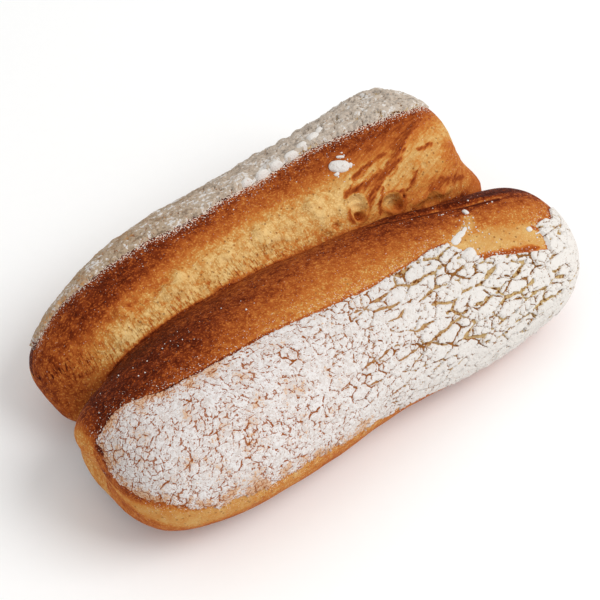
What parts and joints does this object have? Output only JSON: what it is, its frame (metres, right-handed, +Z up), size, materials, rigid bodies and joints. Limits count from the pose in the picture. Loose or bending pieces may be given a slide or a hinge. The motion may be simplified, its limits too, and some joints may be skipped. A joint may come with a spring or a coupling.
{
  "type": "split bread roll",
  "caption": "Crusty split bread roll: long lobes joined side by side along a deep crease, browned on top, with flour baked into cracked plates on both flanks and a flat base.",
  "frame": {"origin": "bottom centre of the roll's bounding box, on the surface it rests on", "axes": "+X along the roll to its right end, as seen from the broader near lobe; -Y to the near lobe; +Z up"},
  "size_m": [0.1574, 0.097, 0.047],
  "materials": {
    "crust": "baked crust, satin where bare and matt where floured",
    "flour": "dry baked flour, fully matt"
  },
  "bodies": {
    "root": {"roll": "crust"}
  },
  "joints": []
}
